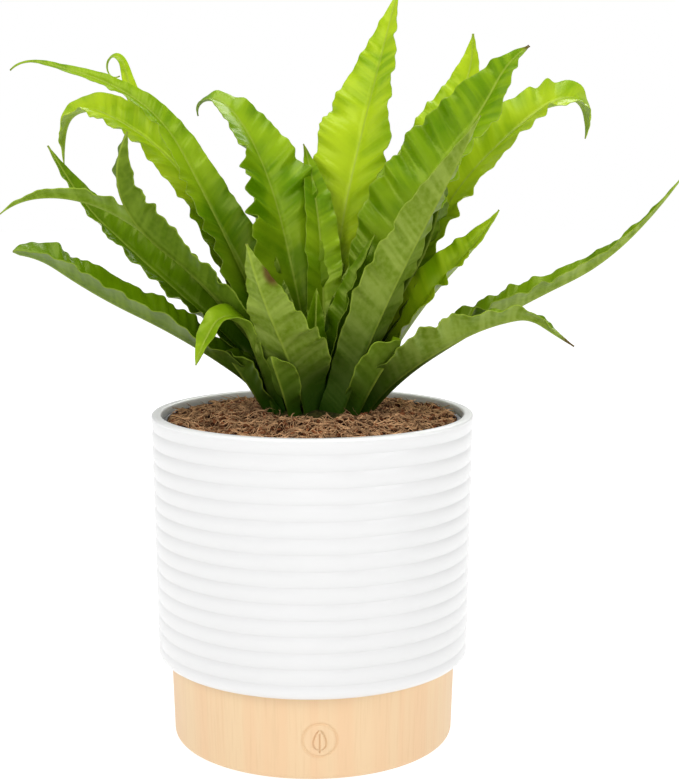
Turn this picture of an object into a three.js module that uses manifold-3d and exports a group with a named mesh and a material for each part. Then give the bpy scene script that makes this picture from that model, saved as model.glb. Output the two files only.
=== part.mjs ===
// Bird's-nest fern in a ribbed cover pot that stands in a tan foot.
// Millimetres, +Z up, origin at the centre of the foot's underside, -Y is the front.
import * as THREE from 'three';
import { mergeVertices } from 'three/addons/utils/BufferGeometryUtils.js';
import Module from 'manifold-3d';

const wasm = await Module();
wasm.setup();

// Driving dimensions
const GAP = 0.3;
const TURNS = 40;

const FOOT_RADIUS = 74;
const FOOT_BASE_RADIUS = 72.8;
const FOOT_HEIGHT = 42.7;
const FOOT_FLOOR = 5;

const POT_HEIGHT = 170;
const POT_RIM_RADIUS = 82.5;
const POT_SHOULDER_Z = FOOT_HEIGHT + GAP;
const POT_SHOULDER_RADIUS = 80.6;
const POT_WALL = 4;
const LIP_WIDTH = 5;
const SPIGOT_RADIUS = 69.4;
const SPIGOT_Z = 14;
const RIB_PITCH = 8;
const RIB_COUNT = 15;
const RIB_BULGE = 0.8;
const TOP_GROOVE_Z = POT_HEIGHT - 7.5;

const LINER_TOP_Z = 166.5;
const LINER_RIM_RADIUS = 76.2;
const LINER_RIM_DEPTH = 11;
const LINER_BASE_RADIUS = 58.5;
const LINER_WALL = 1.5;

const MIX_TOP_Z = 150;
const COIR_EDGE_Z = 165.5;
const COIR_CROWN_Z = 170;
const CROWN_RADIUS = 32;
const CROWN_TOP_Z = 177;
const CROWN_X = 4;
const CROWN_Y = 2;

const ROUNDEL_RADIUS = 8.8;
const ROUNDEL_Z = 21;
const ROUNDEL_X = 4.4;

const BLADE_THICKNESS = 1.8;
const BLADE_STATIONS = 13;
// The frilled margin is thinner than a leaf's rib, so the solid blade keeps to its firm core.
const BLADE_CORE = 0.42;

const radians = THREE.MathUtils.degToRad;

const finish = {
  foot: { color: 0xf7d5aa, roughness: 0.55, metalness: 0 },
  glaze: { color: 0xf2f2f1, roughness: 0.3, metalness: 0 },
  liner: { color: 0x161616, roughness: 0.5, metalness: 0 },
  mix: { color: 0x3b2617, roughness: 1, metalness: 0 },
  coir: { color: 0x78503c, roughness: 1, metalness: 0 },
  crown: { color: 0x35401a, roughness: 0.9, metalness: 0 },
  bright: { color: 0xaacd14, roughness: 0.4, metalness: 0 },
  mid: { color: 0x6f9c12, roughness: 0.4, metalness: 0 },
  dark: { color: 0x3f6e0a, roughness: 0.4, metalness: 0 },
  pale: { color: 0x96af5a, roughness: 0.7, metalness: 0 },
};

// How each frond grows. heading: compass angle it leans to, counter-clockwise from +X.
// seat: angle and radius of its place on the crown. lift: rise above level at shares of its length.
// roll: turn of the blade about its own length, at the crown and at the tip. sweep: change of
// heading from crown to tip. peak: share of the length where it is widest. taper: 1 is straight.
// fold: how far each half of the blade is folded up along the midrib.
const FRONDS = [
  { name: 'frond_left_long', heading: 160, seat: [160, 15], length: 257, width: 41, peak: 0.28, taper: 0.62,
    lift: [[0, 67], [0.54, 60], [0.7, 30], [0.82, 16], [0.92, 14], [0.97, -12], [1, -45]],
    roll: [-35, -45], sweep: 0, fold: 34, tone: 'mid' },
  { name: 'frond_left_back', heading: 145, seat: [138, 13], length: 242, width: 22, peak: 0.3, taper: 1.4,
    lift: [[0, 62], [0.4, 53], [0.68, 42], [0.8, 66], [0.88, 74], [1, -215]], roll: [-25, -35], sweep: 0,
    fold: 26, tone: 'bright' },
  { name: 'frond_left_hook', heading: 153, seat: [154, 24], length: 239, width: 26, peak: 0.5, taper: 4,
    lift: [[0, 71], [0.45, 59], [0.63, 36], [0.8, 20], [0.87, -20], [0.92, -80], [1, -95]],
    roll: [-30, -40], sweep: 0, fold: 33, tone: 'bright' },
  { name: 'frond_left_upright', heading: 196, seat: [216, 17], length: 166, width: 29, peak: 0.65, taper: 2,
    lift: [[0, 61], [0.4, 47], [0.6, 37], [0.76, 58], [0.88, 93], [1, 114]], roll: [-25, 35], sweep: 0,
    fold: 32, tone: 'dark' },
  { name: 'frond_left_arch', heading: 188, seat: [190, 16], length: 189, width: 23, peak: 0.5, taper: 1.8,
    lift: [[0, 60], [0.4, 46], [0.6, 38], [0.75, 20], [0.9, -10], [1, -42]], roll: [0, 15], sweep: 0,
    fold: 32, tone: 'mid' },
  { name: 'frond_left_mid', heading: 172, seat: [175, 24], length: 176, width: 35, peak: 0.45, taper: 1.3,
    lift: [[0, 58], [0.3, 41], [0.7, 42], [0.85, 57], [1, 60]], roll: [-20, -30], sweep: 0, fold: 34,
    tone: 'dark' },
  { name: 'frond_left_low', heading: 196, seat: [196, 29], length: 150, width: 30, peak: 0.45, taper: 14,
    lift: [[0, 64], [0.15, 37], [0.55, 27], [0.85, 36], [1, 5]], roll: [-12, -15], sweep: 0,
    fold: 36, tone: 'dark' },
  { name: 'frond_left_nod', heading: 214, seat: [216, 29], length: 86, width: 17, peak: 0.55, taper: 2,
    lift: [[0, 76], [0.48, 66], [0.62, 20], [0.74, -55], [1, -72]], roll: [-5, -40], sweep: -16,
    fold: 25, tone: 'mid' },
  { name: 'frond_front_pale', heading: 238, seat: [253, 26], length: 97, width: 41, peak: 0.34, taper: 1.2,
    lift: [[0, 68], [0.45, 54], [1, 64]], roll: [8, 0], sweep: 0, fold: 18, tone: 'pale' },
  { name: 'frond_back_hook', heading: 124, seat: [112, 10], length: 183, width: 55, peak: 0.42, taper: 1.9,
    lift: [[0, 76], [0.5, 73], [0.75, 61], [0.86, 46], [0.93, 5], [1, -115]], roll: [-10, -15],
    sweep: 44, fold: 20, tone: 'mid' },
  { name: 'frond_back_narrow', heading: 76, seat: [90, 4], length: 136, width: 21, peak: 0.5, taper: 2.5,
    lift: [[0, 70], [0.6, 72], [1, 64]], roll: [0, 10], sweep: 50, fold: 25, tone: 'mid' },
  { name: 'frond_back_tall', heading: 88, seat: [75, 10], length: 227, width: 46, peak: 0.64, taper: 1.2,
    lift: [[0, 65], [0.6, 68], [1, 74]], roll: [5, 15], sweep: -58, fold: 24, tone: 'bright' },
  { name: 'frond_back_right', heading: 42, seat: [46, 12], length: 215, width: 41, peak: 0.55, taper: 2,
    lift: [[0, 60], [0.5, 59], [0.85, 59], [1, 95]], roll: [20, 25], sweep: 0, fold: 28, tone: 'bright' },
  { name: 'frond_right_big', heading: 12, seat: [18, 11], length: 205, width: 55, peak: 0.55, taper: 1.7,
    lift: [[0, 70], [0.45, 64], [0.7, 53], [0.88, 62], [1, 32]], roll: [32, 40], sweep: 0, fold: 32,
    tone: 'mid' },
  { name: 'frond_right_hook', heading: 20, seat: [25, 22], length: 229, width: 33, peak: 0.5, taper: 6,
    lift: [[0, 68], [0.45, 59], [0.6, 44], [0.8, 34], [0.88, 10], [0.92, -60], [1, -108]],
    roll: [25, 30], sweep: 0, fold: 32, tone: 'bright' },
  { name: 'frond_front_broad', heading: -26, seat: [-64, 27], length: 160, width: 35, peak: 0.4, taper: 1.6,
    lift: [[0, 70], [0.5, 64], [1, 60]], roll: [-30, -50], sweep: 50, fold: 24, tone: 'pale' },
  { name: 'frond_right_curl', heading: 5, seat: [-20, 17], length: 121, width: 30, peak: 0.5, taper: 6,
    lift: [[0, 67], [0.6, 60], [0.8, 74], [1, 88]], roll: [-60, -70], sweep: 0, fold: 66, tone: 'dark' },
  { name: 'frond_right_fork', heading: -2, seat: [2, 25], length: 118, width: 33, peak: 0.42, taper: 1.8,
    lift: [[0, 69], [0.3, 58], [0.7, 47], [1, 59]], roll: [20, 30], sweep: 0, fold: 33, tone: 'bright' },
  { name: 'frond_right_long', heading: -14, seat: [-15, 29], length: 195, width: 32, peak: 0.38, taper: 0.75,
    lift: [[0, 50], [0.2, 34], [0.6, 27], [0.8, 46], [1, 56]], roll: [10, 5], sweep: 0,
    fold: 40, tone: 'pale' },
  { name: 'frond_right_dip', heading: -26, seat: [-34, 29.5], length: 126, width: 36, peak: 0.4, taper: 1.3,
    lift: [[0, 54], [0.2, 38], [0.55, 26], [0.75, 12], [0.85, -34], [1, -30]], roll: [2, -15],
    sweep: 0, fold: 36, tone: 'pale' },
  { name: 'frond_base_stalk', heading: 236, seat: [241, 30.8], length: 34, width: 19, peak: 0.5, taper: 4,
    lift: [[0, 68], [1, 60]], roll: [0, 0], sweep: 0, fold: 35, tone: 'mid' },
  { name: 'frond_base_round', heading: -30, seat: [-49, 29.5], length: 44, width: 26, peak: 0.6, taper: 5,
    lift: [[0, 64], [1, 50]], roll: [0, 0], sweep: 0, fold: 40, tone: 'mid' },
  { name: 'frond_base_low', heading: 191, seat: [208, 30.8], length: 37, width: 25, peak: 0.6, taper: 4,
    lift: [[0, 60], [1, 54]], roll: [0, 0], sweep: 0, fold: 40, tone: 'dark' },
  { name: 'frond_young_right', heading: 20, seat: [0, 4], length: 85, width: 20, peak: 0.5, taper: 1.5,
    lift: [[0, 80], [1, 65]], roll: [0, 0], sweep: 0, fold: 35, tone: 'dark' },
  { name: 'frond_young_front', heading: 85, seat: [235, 5], length: 55, width: 14, peak: 0.5, taper: 1.5,
    lift: [[0, 85], [1, 70]], roll: [0, 0], sweep: 0, fold: 35, tone: 'dark' },
  { name: 'frond_rear_left', heading: 132, seat: [131, 25], length: 134, width: 34, peak: 0.5, taper: 1.4,
    lift: [[0, 56], [1, 46]], roll: [0, 0], sweep: 0, fold: 32, tone: 'mid' },
  { name: 'frond_rear_steep_left', heading: 110, seat: [111, 24], length: 150, width: 36, peak: 0.5,
    taper: 1.4, lift: [[0, 62], [0.6, 56], [1, 36]], roll: [0, 0], sweep: 0, fold: 30, tone: 'mid' },
  { name: 'frond_rear_low', heading: 90, seat: [90, 26], length: 126, width: 34, peak: 0.5, taper: 1.4,
    lift: [[0, 54], [0.3, 42], [1, 30]], roll: [0, 0], sweep: 0, fold: 34, tone: 'dark' },
  { name: 'frond_rear_steep_right', heading: 70, seat: [69, 24], length: 150, width: 36, peak: 0.5,
    taper: 1.4, lift: [[0, 62], [0.6, 54], [1, 44]], roll: [0, 0], sweep: 0, fold: 30, tone: 'mid' },
  { name: 'frond_rear_right', heading: 50, seat: [48, 25], length: 134, width: 34, peak: 0.5, taper: 1.4,
    lift: [[0, 56], [1, 42]], roll: [0, 0], sweep: 0, fold: 32, tone: 'mid' },
];

// A closed body: seam and pole points joined, empty triangles dropped, faces turned outward.
function closedBody(geometry) {
  geometry.deleteAttribute('uv');
  geometry.deleteAttribute('normal');
  const merged = mergeVertices(geometry, 1e-3);
  const point = merged.attributes.position;
  const corner = [new THREE.Vector3(), new THREE.Vector3(), new THREE.Vector3()];
  const kept = [];
  let volume = 0;
  for (let i = 0; i < merged.index.count; i += 3) {
    const face = [0, 1, 2].map((k) => merged.index.getX(i + k));
    if (new Set(face).size === 3) {
      kept.push(...face);
      face.forEach((v, k) => corner[k].fromBufferAttribute(point, v));
      volume += corner[0].dot(corner[1].cross(corner[2]));
    }
  }
  merged.setIndex(volume < 0 ? kept.reverse() : kept);
  return merged;
}

// A turned body from its half outline, given as radius and height.
function turned(outline) {
  const lathe = new THREE.LatheGeometry(outline.map(([r, z]) => new THREE.Vector2(r, z)), TURNS);
  lathe.rotateX(Math.PI / 2);
  return closedBody(lathe);
}

function toManifold(geometry) {
  const vertProperties = new Float32Array(geometry.attributes.position.array);
  const triVerts = new Uint32Array(geometry.index.array);
  return new wasm.Manifold(new wasm.Mesh({ numProp: 3, vertProperties, triVerts }));
}

function cutAway(geometry, cutters) {
  const solid = cutters.reduce((left, cutter) => left.subtract(toManifold(cutter)), toManifold(geometry));
  const mesh = solid.getMesh();
  const result = new THREE.BufferGeometry();
  result.setAttribute('position', new THREE.BufferAttribute(new Float32Array(mesh.vertProperties), 3));
  result.setIndex(Array.from(mesh.triVerts));
  return result;
}

function upright(radius, height, x, y, z) {
  const peg = new THREE.CylinderGeometry(radius, radius, height, 10);
  peg.rotateX(Math.PI / 2);
  peg.translate(x, y, z);
  return closedBody(peg);
}

function ringOfPegs(count, ringRadius, radius, height, z) {
  return Array.from({ length: count }, (_, i) => {
    const angle = ((i + 0.5) / count) * 2 * Math.PI;
    return upright(radius, height, ringRadius * Math.cos(angle), ringRadius * Math.sin(angle), z);
  });
}

function named(name, geometry, look) {
  geometry.computeVertexNormals();
  const mesh = new THREE.Mesh(geometry, new THREE.MeshStandardMaterial(look));
  mesh.name = name;
  return mesh;
}

// Tan cup that the pot's spigot drops into, with a flat underside and a pressed ring on its front.
function foot() {
  const inner = SPIGOT_RADIUS + GAP;
  const cup = turned([
    [0, 0],
    [FOOT_BASE_RADIUS - 3, 0],
    [FOOT_BASE_RADIUS - 1, 0.8],
    [FOOT_BASE_RADIUS, 3],
    [FOOT_RADIUS, FOOT_HEIGHT - 0.8],
    [FOOT_RADIUS - 0.8, FOOT_HEIGHT],
    [inner, FOOT_HEIGHT],
    [inner, FOOT_FLOOR],
    [0, FOOT_FLOOR],
  ]);
  const front = (FOOT_RADIUS + FOOT_BASE_RADIUS) / 2 - 0.8;
  const ring = new THREE.LatheGeometry([
    new THREE.Vector2(ROUNDEL_RADIUS - 1.2, 0),
    new THREE.Vector2(ROUNDEL_RADIUS, 0),
    new THREE.Vector2(ROUNDEL_RADIUS, 3),
    new THREE.Vector2(ROUNDEL_RADIUS - 1.2, 3),
    new THREE.Vector2(ROUNDEL_RADIUS - 1.2, 0),
  ], 24);
  ring.rotateX(Math.PI);
  ring.translate(ROUNDEL_X, -front, ROUNDEL_Z);
  return named('foot', cutAway(cup, [closedBody(ring)]), finish.foot);
}

// White pot: sixteen soft ribs between grooves, a rounded rim, and a narrower spigot below.
function coverPot() {
  const lean = (POT_RIM_RADIUS - POT_SHOULDER_RADIUS) / (POT_HEIGHT - POT_SHOULDER_Z);
  const outer = (z) => POT_SHOULDER_RADIUS + lean * (z - POT_SHOULDER_Z);
  const outline = [
    [0, SPIGOT_Z],
    [SPIGOT_RADIUS - 2, SPIGOT_Z],
    [SPIGOT_RADIUS, SPIGOT_Z + 2],
    [SPIGOT_RADIUS, POT_SHOULDER_Z],
    [POT_SHOULDER_RADIUS - 4, POT_SHOULDER_Z],
    [POT_SHOULDER_RADIUS - 1.2, POT_SHOULDER_Z + 1.2],
    [POT_SHOULDER_RADIUS, POT_SHOULDER_Z + 4],
  ];
  for (let i = RIB_COUNT - 1; i >= 0; i -= 1) {
    const grooveZ = TOP_GROOVE_Z - RIB_PITCH * i;
    outline.push([outer(grooveZ) - RIB_BULGE, grooveZ]);
    outline.push([outer(grooveZ + RIB_PITCH / 2), grooveZ + RIB_PITCH / 2]);
  }
  const inside = POT_RIM_RADIUS - LIP_WIDTH;
  outline.push([POT_RIM_RADIUS - 0.5, POT_HEIGHT - 0.9]);
  outline.push([POT_RIM_RADIUS - 1.6, POT_HEIGHT]);
  outline.push([inside + 1.2, POT_HEIGHT]);
  outline.push([inside + 0.2, POT_HEIGHT - 0.9]);
  outline.push([inside - 0.2, POT_HEIGHT - 5]);
  outline.push([POT_SHOULDER_RADIUS - POT_WALL, POT_SHOULDER_Z + POT_WALL + 1]);
  outline.push([SPIGOT_RADIUS - POT_WALL, POT_SHOULDER_Z + POT_WALL]);
  outline.push([SPIGOT_RADIUS - POT_WALL, SPIGOT_Z + POT_WALL]);
  outline.push([0, SPIGOT_Z + POT_WALL]);
  const holes = ringOfPegs(4, 35, 4, POT_WALL * 3, SPIGOT_Z + POT_WALL / 2);
  return named('cover_pot', cutAway(turned(outline), holes), finish.glaze);
}

// Thin black liner pot with a deeper rim band and drain holes in its floor.
function growerPot() {
  const floorZ = SPIGOT_Z + POT_WALL + GAP;
  const rimFoot = LINER_TOP_Z - LINER_RIM_DEPTH;
  const wallTop = LINER_RIM_RADIUS - 3.6;
  const body = turned([
    [0, floorZ],
    [LINER_BASE_RADIUS - 1.5, floorZ],
    [LINER_BASE_RADIUS, floorZ + 1.5],
    [wallTop, rimFoot],
    [LINER_RIM_RADIUS, rimFoot + 0.6],
    [LINER_RIM_RADIUS, LINER_TOP_Z],
    [LINER_RIM_RADIUS - LINER_WALL, LINER_TOP_Z],
    [LINER_RIM_RADIUS - LINER_WALL, rimFoot + 1.6],
    [wallTop - LINER_WALL, rimFoot],
    [LINER_BASE_RADIUS - LINER_WALL, floorZ + 2.2],
    [0, floorZ + LINER_WALL],
  ]);
  return named('grower_pot', cutAway(body, ringOfPegs(8, 44, 4, 8, floorZ)), finish.liner);
}

function pottingMix() {
  const low = SPIGOT_Z + POT_WALL + GAP + 2.8;
  return named('potting_mix', turned([
    [0, low],
    [LINER_BASE_RADIUS - LINER_WALL - 1, low],
    [LINER_RIM_RADIUS - 6.6, MIX_TOP_Z],
    [0, MIX_TOP_Z],
  ]), finish.mix);
}

// Layer of coir chips, heaped up a little towards the crown in its middle.
function coirTop() {
  const low = MIX_TOP_Z + GAP;
  const hole = CROWN_RADIUS + Math.hypot(CROWN_X, CROWN_Y) + 0.6;
  const edge = LINER_RIM_RADIUS - LINER_WALL - 0.6;
  return named('coir_top', turned([
    [hole, low],
    [edge - 4.4, low],
    [edge - 4.4, LINER_TOP_Z - LINER_RIM_DEPTH],
    [edge, LINER_TOP_Z - LINER_RIM_DEPTH + 3],
    [edge, COIR_EDGE_Z],
    [edge - 14, COIR_EDGE_Z + 1.6],
    [hole + 12, COIR_CROWN_Z - 0.8],
    [hole, COIR_CROWN_Z],
    [hole, low],
  ]), finish.coir);
}

const domeFoot = COIR_CROWN_Z - 2;

function domeHeight(radius) {
  return domeFoot + (CROWN_TOP_Z - domeFoot) * Math.sqrt(Math.max(0, 1 - (radius / CROWN_RADIUS) ** 2));
}

// Domed crown that every frond grows from.
function crown() {
  const outline = [[0, MIX_TOP_Z + GAP], [CROWN_RADIUS, MIX_TOP_Z + GAP]];
  for (const share of [1, 0.9, 0.7, 0.4, 0]) {
    outline.push([CROWN_RADIUS * share, domeHeight(CROWN_RADIUS * share)]);
  }
  const body = named('crown', turned(outline), finish.crown);
  body.position.set(CROWN_X, CROWN_Y, 0);
  return body;
}

// Value at a share of the length, between the stated shares.
function along(stops, share) {
  const next = stops.findIndex(([at]) => at >= share);
  if (next <= 0) {
    return stops[Math.max(next, 0)][1];
  }
  const [from, low] = stops[next - 1];
  const [to, high] = stops[next];
  return THREE.MathUtils.mapLinear(share, from, to, low, high);
}

// Blade width at a share of the length: narrow stalk, widest at its peak, closing to the tip.
function bladeWidth(grow, share) {
  const swell = 0.22 + 0.78 * THREE.MathUtils.smoothstep(share, 0, grow.peak);
  const past = Math.max(0, (share - grow.peak) / (1 - grow.peak));
  return grow.width * BLADE_CORE * Math.max(0.07, swell * (1 - past ** grow.taper));
}

// Direction, side and upper face of the blade at a share of the length.
function bladeFrame(grow, share) {
  const rise = radians(along(grow.lift, share));
  const heading = radians(grow.heading + grow.sweep * share);
  const roll = radians(THREE.MathUtils.lerp(grow.roll[0], grow.roll[1], share));
  const forward = new THREE.Vector3(
    Math.cos(rise) * Math.cos(heading),
    Math.cos(rise) * Math.sin(heading),
    Math.sin(rise),
  );
  const side = new THREE.Vector3(-Math.sin(heading), Math.cos(heading), 0).applyAxisAngle(forward, roll);
  const face = forward.clone().cross(side);
  return { forward, side, face };
}

// A frond: a four-sided bar drawn out along its own curve, its margins folded up a little.
function frond(grow) {
  const [seatAngle, seatRadius] = grow.seat;
  const start = new THREE.Vector3(
    CROWN_X + seatRadius * Math.cos(radians(seatAngle)),
    CROWN_Y + seatRadius * Math.sin(radians(seatAngle)),
    domeHeight(seatRadius) + 2,
  );
  const fine = 120;
  const spine = [start];
  for (let i = 0; i < fine; i += 1) {
    const step = bladeFrame(grow, (i + 0.5) / fine).forward.multiplyScalar(grow.length / fine);
    spine.push(spine[i].clone().add(step));
  }
  const bar = new THREE.CylinderGeometry(1, 1, 1, 4, BLADE_STATIONS);
  const point = bar.attributes.position;
  for (let i = 0; i < point.count; i += 1) {
    // Stations crowd towards the tip, where fronds bend most.
    const share = Math.sin((point.getY(i) + 0.5) * Math.PI / 2) * 0.35 + (point.getY(i) + 0.5) * 0.65;
    const { side, face } = bladeFrame(grow, share);
    const half = bladeWidth(grow, share) / 2;
    const across = point.getX(i);
    const fold = radians(grow.fold);
    const up = point.getZ(i) * BLADE_THICKNESS / 2 + Math.sin(fold) * half * Math.abs(across);
    const place = spine[Math.round(share * fine)].clone();
    place.addScaledVector(side, across * half * Math.cos(fold));
    place.addScaledVector(face, up);
    point.setXYZ(i, place.x, place.y, place.z);
  }
  return named(grow.name, closedBody(bar), finish[grow.tone]);
}

const fern = new THREE.Group();
fern.add(foot(), coverPot(), growerPot(), pottingMix(), coirTop(), crown());
for (const grow of FRONDS) {
  fern.add(frond(grow));
}

export default fern;
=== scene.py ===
"""Bird's-nest fern in a ribbed cover pot, laid out as an add-on and run as a script."""
from collections import namedtuple

import bmesh
import bpy
import numpy as np
from mathutils import Euler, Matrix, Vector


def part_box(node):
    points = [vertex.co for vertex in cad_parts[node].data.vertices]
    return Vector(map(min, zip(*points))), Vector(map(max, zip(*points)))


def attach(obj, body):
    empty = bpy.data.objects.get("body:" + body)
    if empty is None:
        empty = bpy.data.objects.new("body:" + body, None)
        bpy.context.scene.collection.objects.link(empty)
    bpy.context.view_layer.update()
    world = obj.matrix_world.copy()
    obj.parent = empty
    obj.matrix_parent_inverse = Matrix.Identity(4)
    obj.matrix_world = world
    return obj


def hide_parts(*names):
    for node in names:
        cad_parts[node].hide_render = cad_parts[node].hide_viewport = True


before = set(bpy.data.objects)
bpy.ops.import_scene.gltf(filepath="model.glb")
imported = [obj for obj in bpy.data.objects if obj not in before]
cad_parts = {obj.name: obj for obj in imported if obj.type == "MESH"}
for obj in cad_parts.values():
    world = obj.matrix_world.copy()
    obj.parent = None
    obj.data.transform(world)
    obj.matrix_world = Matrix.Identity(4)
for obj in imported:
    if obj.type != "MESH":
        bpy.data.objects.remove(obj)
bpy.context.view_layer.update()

bl_info = {
    "name": "Potted Fern",
    "version": (1, 0, 0),
    "blender": (4, 5, 0),
    "location": "View3D > Sidebar > Fern",
    "description": "Builds a bird's-nest fern in a ribbed pot around its CAD frame",
    "category": "Object",
}

MM = 0.001
BODY = "root"
RIGHT, BACK, UP = 0, 1, 2


def span(node, axis):
    """Lowest and highest coordinate of a frame node along one axis, in mm to the hundredth."""
    low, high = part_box(node)
    return round(low[axis] / MM, 2), round(high[axis] / MM, 2)


# Driving sizes in mm, from the frame
FOOT_RADIUS = span("foot", RIGHT)[1]
FOOT_TOP = span("foot", UP)[1]
POT_BOTTOM, POT_TOP = span("cover_pot", UP)
COIR_TOP = span("coir_top", UP)[1]
CROWN_SPAN = span("crown", RIGHT), span("crown", BACK)
CROWN = tuple((low + high) / 2 for low, high in CROWN_SPAN)
CROWN_RADIUS = (CROWN_SPAN[0][1] - CROWN_SPAN[0][0]) / 2
CROWN_TOP = span("crown", UP)[1]

# Sizes of the visible surfaces, in mm
FOOT_FLOOR = 5.0
FOOT_BORE = 69.7
FOOT_BASE_CORNER = 4.0
FOOT_LIP = 1.0
ROUNDEL_CENTRE = (4.4, 21.0)
ROUNDEL_RING = 8.4
ROUNDEL_DEPTH = 0.8
LEAF_MARK = (3.0, 5.0)
POT_SHOULDER = (80.6, 43.0)
POT_SPREAD = 1.9
SPIGOT_RADIUS = 69.4
SPIGOT_CORNER = 2.0
RIB_PITCH = 8.0
TOP_GROOVE = POT_TOP - 7.5
COIR_EDGE = 165.7
COIR_MOUND = 4.6
COIR_RADIUS = 74.2
COIR_FLOOR = 150.4
LOOSE_COIR = (24.0, 73.2)
FIBRE_REACH = 74.0
FIBRE_RINGS, FIBRE_SIDES = 6, 3
CROWN_RIM = COIR_TOP - 2.0
BURIED_BASE = 12.0
LINER_BEAD = ((75.4, 165.8), 0.78)

# Rows along a blade, points across each half of it, steps along its curve, and how many of those
# steps to either side a change of its lift is eased over
BLADE_ROWS, BLADE_COLUMNS = 220, 12
WALK_STEPS = 400
BEND_EASE = 16

# Studio, in metres, watts and degrees: each lamp has its name, place, aim, size and power
SKY_LIGHT = 0.56
FLOOR_HALF = 6.0
FLOOR_GLOW = 0.86
LAMPS = (
    ("key", (-1.0, -1.1, 1.3), (0, 0, 0.2), 0.9, 11.0),
    ("fill", (1.3, -0.9, 0.9), (0, 0, 0.2), 0.9, 7.0),
    ("back", (0.4, 1.3, 1.2), (0, 0, 0.25), 1.0, 10.0),
    ("top", (0.0, 0.1, 1.7), (0, 0, 0.2), 1.0, 10.0),
    ("front", (0.0, -1.6, 0.6), (0, 0, 0.15), 0.8, 2.5),
)
CAMERA_PLACE = (0.0139, -0.7684, 0.2949)
CAMERA_LENS = 69.47
CAMERA_DIP = 8.494

# How a frond grows: compass heading in degrees, (angle, radius) of its seat on the crown, length and
# width in mm, share of the length where it is widest, taper to the tip (1 is straight), (share, lift)
# stops with the lift in degrees above level, roll at crown and tip, change of heading from crown to
# tip, fold of each half, and its tone of green.
Growth = namedtuple("Growth", "name heading seat length width peak taper lift roll sweep fold tone")

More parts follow.
